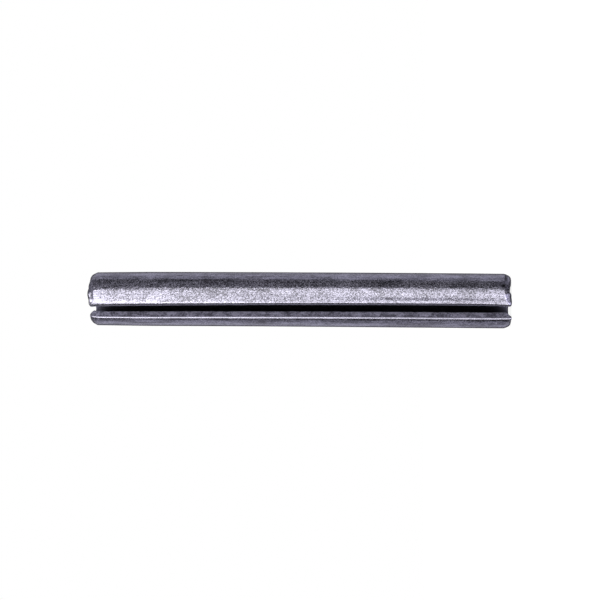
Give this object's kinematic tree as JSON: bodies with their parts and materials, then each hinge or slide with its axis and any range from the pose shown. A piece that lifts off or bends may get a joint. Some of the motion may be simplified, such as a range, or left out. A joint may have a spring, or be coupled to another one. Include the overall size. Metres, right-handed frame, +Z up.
{
  "type": "slotted spring pin",
  "caption": "Plain spring roll pin: a strip of spring steel rolled into a tube with an open slot down its whole length, drawn in and bevelled at its nose and bevelled at its tail.",
  "frame": {"origin": "centre of the tail's end on the pin's axis, on the surface that the pin stands on", "axes": "+Z up along the pin from its bevelled tail to its drawn-in nose, -Y out through the slot, so the slot faces the front"},
  "size_m": [0.0066, 0.0065, 0.0508],
  "materials": {
    "spring_steel": "plain hardened spring steel, dark grey with a faint violet cast, drawn lines along the pin, fine grain and small pits, satin gloss, darker inside the bore"
  },
  "bodies": {
    "root": {"spring_pin": "spring_steel"}
  },
  "joints": []
}
